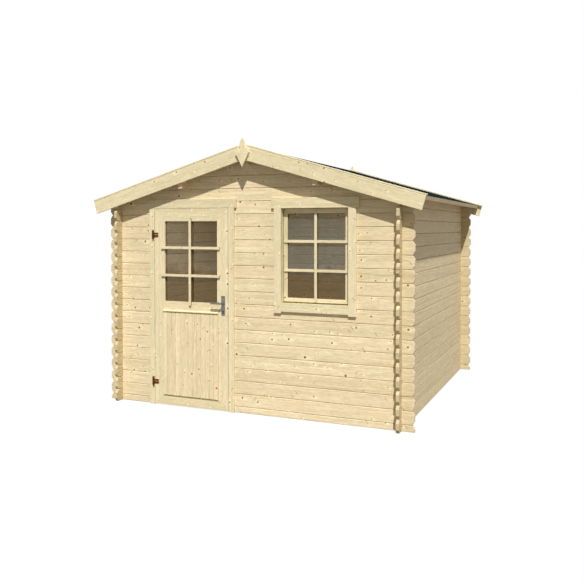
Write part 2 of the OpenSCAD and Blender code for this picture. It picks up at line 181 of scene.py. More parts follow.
class Recipe(Nodes):
    """A material around one Principled shader."""

    def __init__(self, name):
        self.material = bpy.data.materials.new(name)
        super().__init__(self.material)
        self.shader = self.tree.nodes["Principled BSDF"]

    def vector(self, operation, *values):
        return self.add("VectorMath", dict(enumerate(values)), operation=operation)[0]

    def length(self, vector):
        return self.add("VectorMath", {0: vector}, operation="LENGTH")[1]

    def join(self, x, y, z=0):
        return self.add("CombineXYZ", {0: x, 1: y, 2: z})[0]

    def split(self, vector):
        return self.add("SeparateXYZ", {0: vector})

    def attribute(self, name, output):
        return self.add("Attribute", {}, attribute_name=name)[output]

    def object_point(self):
        return self.add("TexCoord", {})["Object"]

    def noise(self, vector, stretch, detail=2, roughness=0.5):
        spot = self.vector("MULTIPLY", vector, stretch)
        inputs = {"Vector": spot, "Scale": 1, "Detail": detail, "Roughness": roughness}
        return self.add("TexNoise", inputs)[0]

    def cells(self, vector, scale, dimensions="3D"):
        """Outputs of a pattern of irregular cells."""
        inputs = {"Vector": vector, "Scale": scale}
        return self.add("TexVoronoi", inputs, voronoi_dimensions=dimensions)

    def span(self, value, start, end, low=0, high=1):
        inputs = {"Value": value, 1: start, 2: end, 3: low, 4: high}
        return self.add("MapRange", inputs, interpolation_type="SMOOTHSTEP")[0]

    def tint(self, factor, first, second, mode="MIX"):
        inputs = {0: factor, 6: first, 7: second}
        return self.add("Mix", inputs, data_type="RGBA", blend_type=mode)[2]

    def share(self, value, times):
        """A random number from 0 to 1, another one for each times."""
        return self.math("FRACT", self.times(value, times))

    def bump(self, height, strength, distance):
        inputs = {"Height": height, "Strength": strength, "Distance": distance}
        self.link("Normal", self.add("Bump", inputs)[0])

    def link(self, socket, value):
        self.tree.links.new(value, self.shader.inputs[socket])

    def set(self, **values):
        for name, value in values.items():
            self.shader.inputs[name.replace("_", " ")].default_value = value


def srgb(red, green, blue):
    """Shader colour of an 8-bit screen colour."""
    steps = [v / 255 for v in (red, green, blue)]
    return tuple(v / 12.92 if v <= 0.04045 else ((v + 0.055) / 1.055) ** 2.4 for v in steps) + (1,)


# -------- camera, light and stage


def put(name, data, location=(0, 0, 0)):
    """Links a new object with data into the scene."""
    made = bpy.data.objects.new(name, data)
    made.location = location
    bpy.context.scene.collection.objects.link(made)
    return made


def place_camera():
    data = bpy.data.cameras.new("camera")
    data.lens = 43.43
    data.sensor_width = 36
    data.shift_y = -0.0839
    camera = put("camera", data, EYE)
    camera.rotation_euler = [radians(angle) for angle in EYE_TURN]
    bpy.context.scene.camera = camera


def light_scene():
    """Sun and soft sky, and a weak lamp in the room so that the panes look into it."""
    sun = bpy.data.lights.new("sun", "SUN")
    sun.energy = 4.15
    sun.angle = radians(1)
    put("sun", sun).rotation_euler = SUN_FROM.to_track_quat("Z", "Y").to_euler()

    room = bpy.data.lights.new("room", "AREA")
    room.energy = 10
    room.color = (0.78, 0.85, 1)
    room.shape = "SQUARE"
    room.size = 1
    put("room", room, (-0.1, -0.5, 2.1)).visible_camera = False

    world = bpy.data.worlds.new("studio")
    bpy.context.scene.world = world
    nodes = Nodes(world)
    sky = nodes.tree.nodes["Background"]
    sky.inputs["Color"].default_value = (1, 0.968, 0.865, 1)
    sky.inputs["Strength"].default_value = 0.3
    white = nodes.add("Background", {"Color": (1, 1, 1, 1)})[0]
    nodes.show("World Output", nodes.seen_directly(), sky.outputs[0], white)


def stage_plane(name, reach_x, reach_y, height, material):
    corners = ((-reach_x, -reach_y), (reach_x, -reach_y), (reach_x, reach_y), (-reach_x, reach_y))
    mesh = bpy.data.meshes.new(name)
    mesh.from_pydata([(x, y, height) for x, y in corners], [], [(0, 1, 2, 3)])
    mesh.materials.append(material)
    put(name, mesh)


def floor_material():
    """White with a faint shadow to the eye, mid grey to the light that it throws back."""
    shadow = 0.2
    material = bpy.data.materials.new("floor")
    nodes = Nodes(material)
    nodes.tree.nodes.remove(nodes.tree.nodes["Principled BSDF"])
    dim = nodes.add("BsdfDiffuse", {"Color": (0.21, 0.205, 0.185, 1)})[0]
    lit = nodes.add("BsdfDiffuse", {"Color": (0.8, 0.8, 0.8, 1)})[0]
    white = nodes.add("Emission", {})[0]
    shown = nodes.add("MixShader", {0: shadow, 1: white, 2: lit})[0]
    nodes.show("Material Output", nodes.seen_directly(), dim, shown)
    return material


def indoor_material():
    r = Recipe("indoor_ground")
    r.set(Base_Color=(0.36, 0.34, 0.31, 1), Roughness=0.9)
    return r.material


# -------- wood

# Lengths in the pattern of the wood
KNOT_R = 4.2 * MM
KNOT_R_MORE = 6 * MM
KNOT_RAGGED = 2 * MM
LEAST_R = 0.5 * MM
SPIKE_R = 36 * MM
RING_T = 5.5 * MM
RING_WOBBLE = 4.5 * MM
RING_DETOUR = 10 * MM
PITH_ACROSS = 50 * MM
PITH_DEPTH = 16 * MM
PITH_DEPTH_MORE = 55 * MM

# Bands, streaks, dashes and pale patches along the grain: stretch of the noise, its detail,
# roughness, start and end, and how much the tone loses at the start and gains at the end
STREAKS = [
    ((0.7, 26, 14), 2, 0.5, 0.3, 0.7, 0.055, 0.04),
    ((9, 95, 60), 3, 0.7, 0.32, 0.68, 0.08, 0.05),
    ((26, 85, 50), 1, 0.5, 0.3, 0.7, 0.05, 0.05),
    ((6, 34, 20), 1, 0.5, 0.56, 0.66, 0, 0.055),
]


def round_knots(r, moved, along, across, board, amount, cell, girth):
    """One knot in a cell of a flat pattern, most of them small, some left out: the knot, its dark
    rim, the swirl in the grain round it, the pale wood beside it and its hue."""
    flat = r.join(r.scaled(board, 91, along), r.scaled(board, 37, across))
    cells = r.cells(flat, 1 / cell, "2D")
    offset = r.vector("SUBTRACT", flat, cells["Position"])
    fate, size, hue = r.split(cells["Color"])
    present = r.math("GREATER_THAN", fate, 1 - 0.65 * amount)
    radius = r.scaled(r.math("POWER", size, 3), KNOT_R_MORE * girth, KNOT_R * girth)
    radius = r.times(radius, present)
    unit = r.math("MAXIMUM", radius, LEAST_R)

    ragged = r.scaled(r.noise(moved, (160, 160, 160), detail=1), 2 * KNOT_RAGGED, -KNOT_RAGGED)
    away = r.math("DIVIDE", r.math("ADD", r.length(offset), ragged), unit)
    knot = r.span(away, 1.2, 0.85)
    rim = r.times(r.span(away, 0.55, 0.95), knot)
    drawn_out = r.length(r.vector("MULTIPLY", offset, (0.3, 1, 1)))
    swirl = r.times(r.span(r.math("DIVIDE", drawn_out, unit), 3.2, 0.9), present)
    beside = r.vector("ADD", offset, (-15 * MM, 6 * MM, 0))
    beside = r.length(r.vector("MULTIPLY", beside, (0.5, 1, 1)))
    pale = r.times(r.span(r.math("DIVIDE", beside, unit), 3.2, 0.4), r.span(hue, 0.3, 0.5))
    return knot, rim, swirl, pale, hue


def spike_knots(r, along, across, board, amount):
    """Short spike knots that lie across the grain, to one side or the other by board."""
    lean = r.math("SIGN", r.math("SUBTRACT", r.share(board, 19), 0.5))
    tilt = r.times(along, lean)
    u = r.math("ADD", r.times(tilt, 0.62), r.times(across, 0.78))
    v = r.math("SUBTRACT", r.times(tilt, 0.78), r.times(across, 0.62))
    slant = r.join(r.scaled(u, 1.4, r.times(board, 61)), r.scaled(v, 11, r.times(board, 23)))
    spikes = r.cells(slant, 1.15, "2D")
    chance = r.split(spikes["Color"])[0]
    reach = r.times(r.math("GREATER_THAN", chance, 1 - 0.6 * amount), SPIKE_R)
    away = r.math("DIVIDE", spikes["Distance"], r.math("MAXIMUM", reach, LEAST_R))
    return r.span(away, 1.15, 0.6)


def summer_wood(r, moved, across, through, board, swirl):
    """The dark part of each growth ring around the pith, pushed aside by the knots."""
    pith = r.scaled(r.share(board, 7.3), 2 * PITH_ACROSS, -PITH_ACROSS)
    drift = r.scaled(r.noise(moved, (0.9, 4, 4), detail=1), PITH_ACROSS, -PITH_ACROSS / 2)
    side = r.math("ADD", r.math("SUBTRACT", across, pith), drift)
    deep = r.math("ADD", through, r.scaled(r.share(board, 13.7), PITH_DEPTH_MORE, PITH_DEPTH))
    wobble = r.scaled(r.noise(moved, (2.5, 30, 30)), 2 * RING_WOBBLE, -RING_WOBBLE)
    radius = r.math("ADD", r.length(r.join(side, deep)), wobble)
    radius = r.scaled(swirl, RING_DETOUR, radius)
    ring = r.math("FRACT", r.math("DIVIDE", radius, RING_T))
    return r.times(r.span(ring, 0.3, 0.9), r.span(ring, 1, 0.93))


def board_tone(r, moved, board, fibre, contrast):
    """The board's own tone, its streaks, soft clouds and fibres, and dark loops in the grain."""
    tone = r.scaled(r.share(board, 29), 0.05 * contrast, 1 - 0.02 * contrast)
    for stretch, detail, roughness, start, end, loss, gain in STREAKS:
        streak = r.noise(moved, stretch, detail, roughness)
        tone = r.times(tone, r.span(streak, start, end, 1 - loss * contrast, 1 + gain * contrast))
    tone = r.times(tone, r.span(r.noise(moved, (3, 9, 9)), 0.3, 0.7, 0.985, 1.012))
    tone = r.times(tone, r.span(fibre, 0.25, 0.75, 0.975, 1.02))
    hill = r.noise(moved, (4.5, 15, 15), detail=1.5)
    loop = r.span(r.math("ABSOLUTE", r.math("SUBTRACT", hill, 0.56)), 0.012, 0)
    loop = r.times(loop, r.span(r.noise(moved, (2, 7, 7)), 0.5, 0.6))
    return r.times(tone, r.scaled(loop, -0.14 * contrast, 1))


def wood(name, light, late, knots=1, contrast=1, cell=0.15, girth=1):
    """Planed spruce: a solid pattern around a pith line of the board's own, so that faces, edges
    and ends agree. Knots run through the board's thickness."""
    r = Recipe(name)
    grain = r.attribute("grain", "Vector")
    board = r.attribute("board", "Fac")
    along, across, through = r.split(grain)
    apart = r.times(board, 53)
    moved = r.vector("ADD", grain, r.join(apart, apart, apart))
    knot, rim, swirl, pale, hue = round_knots(r, moved, along, across, board, knots, cell, girth)
    spike = spike_knots(r, along, across, board, knots)
    summer = summer_wood(r, moved, across, through, board, swirl)
    fibre = r.noise(moved, (14, 900, 900), detail=2, roughness=0.6)
    tone = board_tone(r, moved, board, fibre, contrast)

    colour = r.tint(r.times(summer, 0.42 * contrast), light, late)
    warm = r.times(r.span(r.share(board, 43), 0.35, 1), 0.12 * contrast)
    colour = r.tint(warm, colour, late)
    colour = r.tint(r.times(swirl, 0.45), colour, srgb(252, 232, 182))
    colour = r.tint(1, colour, r.join(tone, tone, r.math("POWER", tone, 1.25)), mode="MULTIPLY")
    colour = r.tint(r.times(pale, 0.85), colour, srgb(255, 242, 202))
    colour = r.tint(r.times(knot, 0.9), colour, r.tint(hue, srgb(150, 100, 40), srgb(104, 62, 22)))
    colour = r.tint(r.times(rim, 0.55), colour, srgb(64, 38, 14))
    colour = r.tint(r.times(spike, 0.72), colour, srgb(134, 96, 48))
    colour = r.tint(r.attribute("shade", "Fac"), colour, SHADED, mode="MULTIPLY")
    r.link("Base Color", colour)

    r.link("Roughness", r.span(r.math("ADD", fibre, summer), 0.2, 1.6, 0.66, 0.52))
    height = r.scaled(knot, 0.8, r.scaled(fibre, 0.5, r.times(summer, 0.6)))
    r.bump(height, 0.35, 0.6 * MM)
    r.set(Specular_IOR_Level=0.3)
    return r.material


# -------- felt, glass and metal


def felt():
    """Bitumen felt with blue-grey slate grains, worn darker in patches and washed paler."""
    r = Recipe("bitumen_felt")
    spot = r.object_point()
    grains = r.cells(spot, 480)
    pick = r.split(grains["Color"])[0]
    colour = r.tint(r.span(pick, 0.2, 1), srgb(15, 26, 31), srgb(36, 50, 57))
    colour = r.tint(r.math("GREATER_THAN", pick, 0.93), colour, srgb(60, 76, 88))
    worn = r.noise(spot, (1.4, 2.6, 1.4), detail=5, roughness=0.65)
    colour = r.tint(r.span(worn, 0.36, 0.64, 0, 0.55), colour, srgb(13, 23, 28))
    washed = r.noise(spot, (1.1, 17, 1.1), detail=3, roughness=0.6)
    colour = r.tint(r.span(washed, 0.48, 0.7, 0, 0.4), colour, srgb(42, 56, 62))
    r.link("Base Color", colour)
    r.link("Roughness", r.span(pick, 0, 1, 0.75, 0.95))
    r.bump(r.math("ADD", grains["Distance"], pick), 0.5, 0.8 * MM)
    r.set(Specular_IOR_Level=0)
    return r.material


def glass():
    """Clear pane with a thin dusty film that is partly painted reflection: it turns brown towards the
    foot, a painted reflection, and grows thicker on the door's hinge side, a painted brighter reflection
    there.
    """
    r = Recipe("pane_glass")
    spot = r.object_point()
    film = r.noise(spot, (9, 9, 7), detail=4, roughness=0.6)
    across, _, up = r.split(spot)
    # low is 1 towards the foot, where the film turns brown: a painted reflection.
    low = r.span(r.scaled(film, 0.3, up), 1.5, 1.36)
    # The film's grey runs from warm on the door to cool on the window: painted reflection colour.
    grey = r.tint(r.span(across, -0.2, 0.2), srgb(190, 172, 138), srgb(186, 202, 190))
    r.link("Base Color", r.tint(low, grey, srgb(108, 80, 22)))
    # The film is thicker on the door's hinge side: a painted brighter reflection as well as a dusty film.
    hinge_side_reflection = r.span(across, -0.45, -0.8, 0.01, 0.08)
    dust_and_reflection = r.math("ADD", hinge_side_reflection, r.span(across, 0, 0.3, 0, 0.045))
    dust_and_reflection = r.times(dust_and_reflection, r.span(film, 0.3, 0.7, 0.75, 1.25))
    dust_and_reflection = r.times(dust_and_reflection, r.scaled(low, -0.35, 1))
    r.link("Alpha", r.scaled(low, 0.23, dust_and_reflection))
    r.link("Roughness", r.span(film, 0.3, 0.7, 0.03, 0.07))
    r.material.use_transparency_overlap = True
    return r.material


def metal(name, dark, light, metallic, roughness, scratch, gloss=0.5):
    """Metal, uneven in colour and gloss along its scratches."""
    r = Recipe(name)
    spot = r.object_point()
    broad = r.noise(spot, (26, 26, 26), detail=3)
    fine = r.noise(spot, scratch)
    mixed = r.scaled(broad, 0.6, r.times(fine, 0.4))
    r.link("Base Color", r.tint(r.span(mixed, 0.35, 0.65), dark, light))
    r.link("Roughness", r.span(fine, 0.3, 0.7, roughness - 0.06, roughness + 0.08))
    r.bump(fine, 0.12, 0.3 * MM)
    r.set(Metallic=metallic, Specular_IOR_Level=gloss)
    return r.material


# -------- solids


class Joinery:
    """One object made of boards. Each board keeps its own place in the grain and its own tone."""

    def __init__(self, name, seed, shade=0):
        self.name = name
        self.dice = random.Random(seed)
        self.base_shade = shade
        self.points, self.faces, self.grain, self.board, self.shade = [], [], [], [], []

    def add(self, shape, along, across, centre=None, darker=None):
        """Adds a board. darker is the shade of a spot beyond that of the whole object."""
        shape.verts.index_update()
        middle = centre or sum((v.co for v in shape.verts), Vector()) / len(shape.verts)
        through = along.cross(across)
        first = len(self.points)
        tone = self.dice.random()
        ways = [(v.co - middle).dot(along) for v in shape.verts]
        start, end = min(ways) + HAIR, max(ways) - HAIR
        for v, way in zip(shape.verts, ways):
            away = v.co - middle
            self.points.append(v.co[:])
            self.grain += [way, away.dot(across), away.dot(through)]
            self.board.append(tone)
            cap = 0 if start < way < end else END_SHADE
            self.shade.append(min(1, self.base_shade + cap + (darker(v.co) if darker else 0)))
        for face in shape.faces:
            self.faces.append([first + v.index for v in face.verts])
        shape.free()

    def slab(self, first, second, along, arris=ARRIS, darker=None):
        """A straight board between two corners, its grain along one axis."""
        low, high = in_order(first, second)
        size = high - low
        across = max((axis for axis in (X, Y, Z) if axis != along), key=size.dot)
        plan = ((low.x, low.y), (high.x, low.y), (high.x, high.y), (low.x, high.y))
        corners = [(x, y, low.z) for x, y in plan]
        self.add(prism(corners, Z * size.z, arris), along, across, darker=darker)

    def plate(self, outline, low_y, high_y, along, across, arris=ARRIS, darker=None):
        """A board with an outline in X and Z, from low_y to high_y."""
        corners = [(x, low_y, z) for x, z in outline]
        self.add(prism(corners, Y * (high_y - low_y), arris), along, across, darker=darker)

    def finish(self, body, material, slot, *nodes):
        mesh = bpy.data.meshes.new(self.name)
        mesh.from_pydata(self.points, [], self.faces)
        grain = mesh.attributes.new("grain", "FLOAT_VECTOR", "POINT")
        grain.data.foreach_set("vector", self.grain)
        for name, values in (("board", self.board), ("shade", self.shade)):
            mesh.attributes.new(name, "FLOAT", "POINT").data.foreach_set("value", values)
        show(mesh, self.name, body, material, slot, *nodes)


def show(mesh, name, body, material, slot, *nodes):
    """Shows a mesh as a piece that rides on body and stands for the nodes."""
    mesh.materials.append(material)
    piece = put(name, mesh)
    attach(piece, body)
    if nodes:
        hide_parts(*nodes)


def in_order(first, second):
    """Low and high corner of the box between two corners."""
    return Vector(map(min, first, second)), Vector(map(max, first, second))


def turn_outward(shape):
    bmesh.ops.recalc_face_normals(shape, faces=shape.faces)


def ease(shape, width, segments, profile):
    """Rounds all the edges of shape."""
    how = {"offset": width, "segments": segments, "profile": profile, "affect": "EDGES"}
    bmesh.ops.bevel(shape, geom=shape.edges[:], **how)


def prism(outline, sweep, arris=ARRIS):
    """Outline drawn along sweep, with its edges eased."""
    shape = bmesh.new()
    near = [shape.verts.new(p) for p in outline]
    far = [shape.verts.new(Vector(p) + sweep) for p in outline]
    shape.faces.new(near)
    shape.faces.new(far)
    for k in range(len(near)):
        shape.faces.new((near[k - 1], near[k], far[k], far[k - 1]))
    turn_outward(shape)
    ease(shape, arris, segments=2, profile=0.6)
    return shape


def lofted(shape, rings):
    """Faces between closed rings of points and over both ends, added to shape."""
    loops = [[shape.verts.new(p) for p in ring] for ring in rings]
    for first, second in zip(loops, loops[1:]):
        for k in range(len(first)):
            shape.faces.new((first[k - 1], first[k], second[k], second[k - 1]))
    shape.faces.new(loops[0])
    shape.faces.new(loops[-1])


def skin(rings):
    """A solid between closed rings of points."""
    shape = bmesh.new()
    lofted(shape, rings)
    turn_outward(shape)
    return shape


# -------- walls

side_low, side_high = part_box("right_wall")
front_low, front_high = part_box("front_gable")
LOG_T = side_high.x - side_low.x
HALF_W, HALF_D = side_high.x, -front_low.y
PLAN_X, PLAN_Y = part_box("back_wall")[1].x, side_high.y
WALL_FRONT = front_low.y
WALL_INNER = WALL_FRONT + LOG_T
CUT_Z = front_low.z
RIDGE_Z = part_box("ridge_purlin")[1].z


def roof_z(x):
    """Height of the underside of the roof boards."""
    return RIDGE_Z - abs(x) * SLOPE


def stub_shade(amount):
    """Shade of the log ends that stand out beyond the crossing walls."""
    return lambda spot: amount * (abs(spot.x) > HALF_W + HAIR or abs(spot.y) > HALF_D + HAIR)


def log_ring(place, s, low, high, inset):
    """Section of a log at s: eased edges, a shadow gap, and a core that meets the next log."""
    room = 2.4 * LOG_EDGE[0][1]
    squeeze = min(1, (high - low) / room)
    edge = [(max(depth, inset), drop * squeeze) for depth, drop in LOG_EDGE]
    ring = [(depth, high - drop) for depth, drop in edge]
    ring += [(LOG_T - depth, high - drop) for depth, drop in reversed(edge)]
    ring += [(LOG_T - depth, low + drop) for depth, drop in edge]
    ring += [(depth, low + drop) for depth, drop in reversed(edge)]
    return [place(s, t, z) for t, z in ring]


def log_stops(start, end, free, crossings):
    """Places along a log where its section changes, as (place, height cut, inset)."""
    stops = [(start + w, cut, inset) for w, cut, inset in LOG_END] if free[0] else [(start, 0, 0)]
    stops += [(end - w, cut, inset) for w, cut, inset in LOG_END] if free[1] else [(end, 0, 0)]
    for middle in crossings:
        if start < middle < end:
            near, far = (middle + side * (LOG_T / 2 + NOTCH_FIT) for side in (-1, 1))
            stops += [(near - LOG_STEP, 0, 0), (near + LOG_STEP, NOTCH, 0)]
            stops += [(far - LOG_STEP, NOTCH, 0), (far + LOG_STEP, 0, 0)]
    return stops


def lay_log(job, place, run, low, high, free, crossings, joints, darker, dips=(), top=None):
    """One log from run[0] to run[1]. Other walls cross it at crossings, joints says whether its
    foot and head are joints, dips are (from, to, lowest, highest) left of it at an opening, and
    top gives the roof's height."""
    stops = log_stops(*run, free, crossings)
    if top:
        knees = [0] + [side * (RIDGE_Z - z) / SLOPE for side in (-1, 1) for z in (low, high)]
        stops += [(s, 0, 0) for s in knees if run[0] < s < run[1]]
    for dip in dips:
        stops += [(edge + side * LOG_STEP, 0, 0) for edge in dip[:2] for side in (-1, 1)]
    rings = []
    for s, cut, inset in sorted(stops, key=lambda stop: stop[0]):
        foot = low + cut * joints[0]
        head = high - cut * joints[1]
        if top:
            head = min(head, top(s))
        for start, end, lowest, highest in dips:
            if start < s < end:
                foot, head = max(foot, lowest), min(head, highest)
        rings.append(log_ring(place, s, foot, max(head, foot + LEAST_LOG_H), inset))
    along = (place(1, 0, 0) - place(0, 0, 0)).normalized()
    centre = place((run[0] + run[1]) / 2, LOG_T / 2, (low + high) / 2)
    job.add(skin(rings), along, Z, centre, darker)


def side_wall(name, side, node, seed):
    """Side wall: whole logs from the ground, the top one cut to the roof."""
    top = roof_z(HALF_W)
    sloped_from = top - 6 * MM

    def place(s, t, z):
        lift = t * SLOPE if z > sloped_from else 0
        return Vector((side * (HALF_W - t), s, z + lift))

    job = Joinery(name, seed, SIDE_SHADE)
    crossings = [end * (HALF_D - LOG_T / 2) for end in (-1, 1)]
    run, free, joints = (-PLAN_Y, PLAN_Y), (True, True), (1, 1)
    darker = stub_shade(DEEP_STUB_SHADE)
    for k in range(round(top / LOG_H)):
        low = k * LOG_H
        high = min(low + LOG_H, top)
        lay_log(job, place, run, low, high, free, crossings, joints, darker)
    job.finish("root", shaded_side_logs, "logs", node)


def end_wall(name, face, inward, openings, seed, stubs, *nodes):
    """Front or back wall with its gable: half a log at the foot, then whole logs, cut at the
    openings."""

    def place(s, t, z):
        return Vector((s, face + inward * t, z))

    job = Joinery(name, seed)
    crossings = [side * (HALF_W - LOG_T / 2) for side in (-1, 1)]
    low, high = 0, LOG_H / 2
    while low < RIDGE_Z - 10 * MM:
        reach = min(PLAN_X, (RIDGE_Z - low) / SLOPE)
        whole = reach == PLAN_X
        runs, start, dips = [], -reach, []
        for x0, x1, z0, z1 in openings:
            if z0 <= low and z1 >= high:
                runs.append((start, x0))
                start = x1
            elif low < z1 < high and z0 < low:
                dips.append((x0, x1, z1, high))
            elif low < z0 < high:
                dips.append((x0, x1, low, z0))
        runs.append((start, reach))
        joints = (low > 0, 1)
        for run in runs:
            free = (whole and run[0] == -reach, whole and run[1] == reach)
            here = [dip for dip in dips if run[0] <= dip[0] and dip[1] <= run[1]]
            darker = stub_shade(stubs)
            lay_log(job, place, run, low, high, free, crossings, joints, darker, here, roof_z)
        low, high = high, min(high + LOG_H, RIDGE_Z)
    job.finish("root", logs, "logs", *nodes)


def build_walls():
    side_wall("left_wall_logs", -1, "left_wall", 11)
    side_wall("right_wall_logs", 1, "right_wall", 23)
    end_wall("back_wall_logs", HALF_D, -1, [], 31, DEEP_STUB_SHADE, "back_wall")
    under_low, under_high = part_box("front_wall_under_window")
    door = (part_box("front_wall_left")[1].x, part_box("front_wall_middle")[0].x, 0, CUT_Z)
    window = (under_low.x, under_high.x, under_high.z, CUT_Z)
    beside = ["front_wall_" + word for word in ("left", "middle", "right", "under_window")]
    nodes = beside + ["front_gable"]
    end_wall("front_wall_logs", WALL_FRONT, 1, [door, window], 47, STUB_SHADE, *nodes)


# -------- roof


def slope_point(side, u, v, y=0):
    """Point u down the slope from the ridge and v above the underside of the boards."""
    x = u * cos(PITCH) + v * sin(PITCH)
    return Vector((side * x, y, RIDGE_Z - u * sin(PITCH) + v * cos(PITCH)))


def slope_outline(side, low, high, u, gap=0):
    """Section in X and Z of a sloping band from the ridge's middle plane to u."""
    start = [gap - v * SLOPE for v in (low, high)]
    corners = [(start[0], low), (u, low), (u, high), (start[1], high)]
    return [slope_point(side, along, v).xz for along, v in corners]


def down_slope(side):
    return Vector((side * cos(PITCH), 0, -sin(PITCH)))


def up_from_slope(side):
    return Vector((side * sin(PITCH), 0, cos(PITCH)))


def build_roof_boards(word, side, seed):
    low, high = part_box(word + "_roof_deck")
    width = (high.y - low.y) / ROOF_BOARDS
    end = EAVES_U - FASCIA_T
    outline = slope_outline(side, 0, DECK_T, end)
    job = Joinery(word + "_roof_boards", seed)
    for k in range(ROOF_BOARDS):
        start = low.y + k * width + ROOF_GAP / 2
        job.plate(outline, start, start + width - ROOF_GAP, down_slope(side), Y, 2 * MM)
    job.finish("root", roof_wood, "roof_boards", word + "_roof_deck")

    foot = DECK_T - FASCIA_H
    corners = ((end, foot), (EAVES_U, foot), (EAVES_U, DECK_T), (end, DECK_T))
    outline = [slope_point(side, u, v).xz for u, v in corners]
    job = Joinery(word + "_fascia_board", seed + 1)
    job.plate(outline, low.y, high.y, Y, up_from_slope(side))
    job.finish("root", roof_wood, "trim", word + "_eaves_fascia")


def build_purlins():
    """Beams under the boards, their ends set back into the shadow of the barge boards."""
    for k, node in enumerate(("ridge_purlin", "left_purlin", "right_purlin")):
        low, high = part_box(node)
        outline = [(low.x, low.z), (high.x, low.z), (high.x, roof_z(high.x)), (low.x, roof_z(low.x))]
        if node == "ridge_purlin":
            outline.insert(3, (0, RIDGE_Z))
        job = Joinery(node + "_beam", 61 + k)
        job.plate(outline, low.y + PURLIN_BACK, high.y - PURLIN_BACK, Y, Z, 2.5 * MM)
        job.finish("root", logs, "roof_boards", node)


def left_strip_shade(spot):
    return STRIP_SHADE if spot.x < 0 else 0


def build_gable_trim(word, seed):
    """Barge boards, the strips over the felt's edge and the finial of one gable."""
    low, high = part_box(word + "_left_barge")
    for name, side in SIDES:
        end = BARGE_U - 3 * MM
        outline = slope_outline(side, FELT_V - BARGE_H, FELT_V, end, RIDGE_GAP)
        job = Joinery(f"{word}_{name}_barge_board", seed + side)
        grain = (down_slope(side), up_from_slope(side))
        job.plate(outline, low.y, high.y, *grain, ROUND_ARRIS)
        job.finish("root", trim, "trim", f"{word}_{name}_barge")

    low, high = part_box(word + "_cover_strips")
    job = Joinery(word + "_edge_strips", seed + 2)
    for side in (-1, 1):
        outline = slope_outline(side, FELT_V + 1 * MM, STRIP_V - 2 * MM, BARGE_U, RIDGE_GAP)
        job.plate(outline, low.y, high.y, down_slope(side), Y, ROUND_ARRIS, left_strip_shade)
    job.finish("root", trim, "trim", word + "_cover_strips")

    low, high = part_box(word + "_finial")
    middle = (low.z + high.z) / 2
    outline = [(0, high.z), (high.x, middle), (0, low.z), (low.x, middle)]
    job = Joinery(word + "_finial_board", seed + 3)
    job.plate(outline, low.y, high.y, Z, X, 2.2 * MM)
    job.finish("root", trim, "trim", word + "_finial")


def felt_sheet(side, start, end, foot, low_y, high_y, dice):
    """A gently uneven strip of felt from start to end down the slope, foot above the boards."""
    rows, columns, unevenness = 14, 40, 0.12 * MM
    ranges = ((3, 9), (0, 6), (1.5, 4), (0, 6))
    waves = [[dice.uniform(*limits) for limits in ranges] for _ in range(4)]
    shape = bmesh.new()
    sheets = []
    for level in (foot, foot + FELT_T):
        sheet = []
        for i in range(rows + 1):
            u = start + (end - start) * i / rows
            line = []
            for j in range(columns + 1):
                y = low_y + (high_y - low_y) * j / columns
                lift = sum(sin(a * u + b) * sin(c * y + d) for a, b, c, d in waves)
                spot = slope_point(side, u, level + lift * unevenness, y)
                line.append(shape.verts.new(spot))
            sheet.append(line)
        for first, second in zip(sheet, sheet[1:]):
            for j in range(columns):
                shape.faces.new((first[j], first[j + 1], second[j + 1], second[j]))
        sheets.append(sheet)
    lower, upper = (rim(sheet) for sheet in sheets)
    for k in range(len(lower)):
        shape.faces.new((lower[k - 1], lower[k], upper[k], upper[k - 1]))
    turn_outward(shape)
    return shape


def rim(sheet):
    """The outer loop of rows of points."""
    right = [row[-1] for row in sheet[1:]]
    left = [row[0] for row in sheet[-2:0:-1]]
    return sheet[0] + right + sheet[-1][-2::-1] + left


def build_felt():
    """Two courses down each slope and a cap along the ridge, with clout nails at the laps."""
    dice = random.Random(71)
    nails = bmesh.new()
    cap = Joinery("ridge_felt_cap", 73)
    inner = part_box("front_cover_strips")[1].y
    ridge = -FELT_V * SLOPE - 0.8 * MM
    nail_rows = (
        (120 * MM, FELT_V + 2.6 * MM),
        (FELT_LAP - 25 * MM, FELT_V + 0.8 * MM),
        (EAVES_U - 12 * MM, DECK_T + 2.3 * MM),
    )
    for word, side in SIDES:
        low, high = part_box(word + "_roof_felt")
        grain = (Y, down_slope(side))
        job = Joinery(word + "_felt_courses", 79)
        for start, end, bed in ((FELT_LAP - 60 * MM, EAVES_U, 0.1 * MM), (4 * MM, FELT_LAP, 1.2 * MM)):
            job.add(felt_sheet(side, start, end, DECK_T + bed, low.y, high.y, dice), *grain)
        job.finish("root", felt_material, "felt", word + "_roof_felt")
        cap.add(felt_sheet(side, ridge, 140 * MM, FELT_V + 0.4 * MM, inner, -inner, dice), *grain)
        turn = up_from_slope(side).to_track_quat("Z", "Y").to_matrix().to_4x4()
        for u, v in nail_rows:
            for k in range(NAILS):
                y = inner + 50 * MM + (-2 * inner - 100 * MM) * k / (NAILS - 1)
                down, along = dice.uniform(-3, 3) * MM, dice.uniform(-8, 8) * MM
                place = Matrix.Translation(slope_point(side, u + down, v, y + along)) @ turn
                head = {"radius1": 5 * MM, "radius2": 4 * MM, "depth": 1.4 * MM, "segments": 10}
                bmesh.ops.create_cone(nails, cap_ends=True, matrix=place, **head)
    cap.finish("root", felt_material, "felt")
    mesh = bpy.data.meshes.new("felt_nails")
    nails.to_mesh(mesh)
    nails.free()
    show(mesh, "felt_nails", "root", zinc, "handle_metal")


# -------- door frame and window


def frame_boards(node, seed, *slabs):
    job = Joinery(node + "_boards", seed)
    for slab in slabs:
        job.slab(*slab)
    job.finish("root", trim, "trim", node)


def jambs(word):
    """Both jambs' nodes with their side, low and high corner, and outer and inner X."""
    for name, side in SIDES:
        node = f"{word}_jamb_{name}"
        low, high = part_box(node)
        outer, inner = (low.x, high.x) if side < 0 else (high.x, low.x)
        yield node, side, low, high, outer, inner


